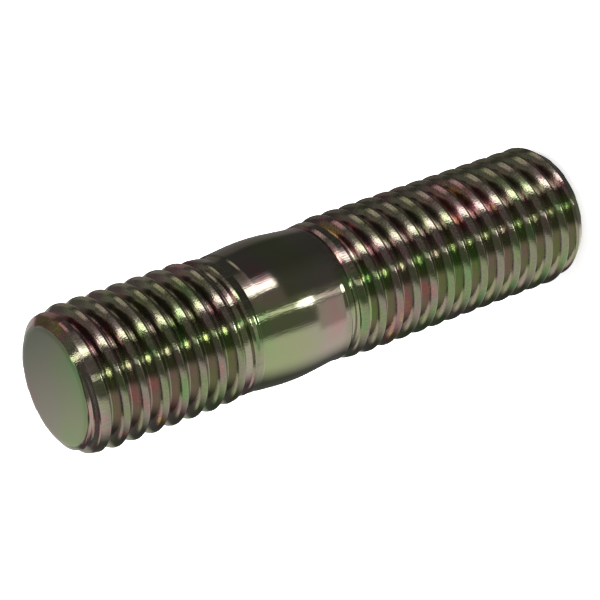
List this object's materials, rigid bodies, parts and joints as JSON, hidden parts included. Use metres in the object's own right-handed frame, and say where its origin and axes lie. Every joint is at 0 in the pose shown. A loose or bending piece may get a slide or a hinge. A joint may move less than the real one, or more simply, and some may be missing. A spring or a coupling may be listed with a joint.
{
  "type": "double ended stud",
  "caption": "Double ended stud: a steel rod with a rolled right-hand thread at each end, the nut end longer than the tap end, and a plain barrel-shaped shank between them.",
  "frame": {"origin": "centre of the nut-end face, which is the face the stud stands on", "axes": "+Z along the stud's axis, from the nut end up to the tap end; +X and +Y lie across the axis"},
  "size_m": [0.012, 0.012, 0.0487],
  "materials": {
    "plated_steel": "dark olive passivated zinc plating on rolled steel, glossy, with weak green and pink tints"
  },
  "bodies": {
    "root": {"stud": "plated_steel"}
  },
  "joints": []
}
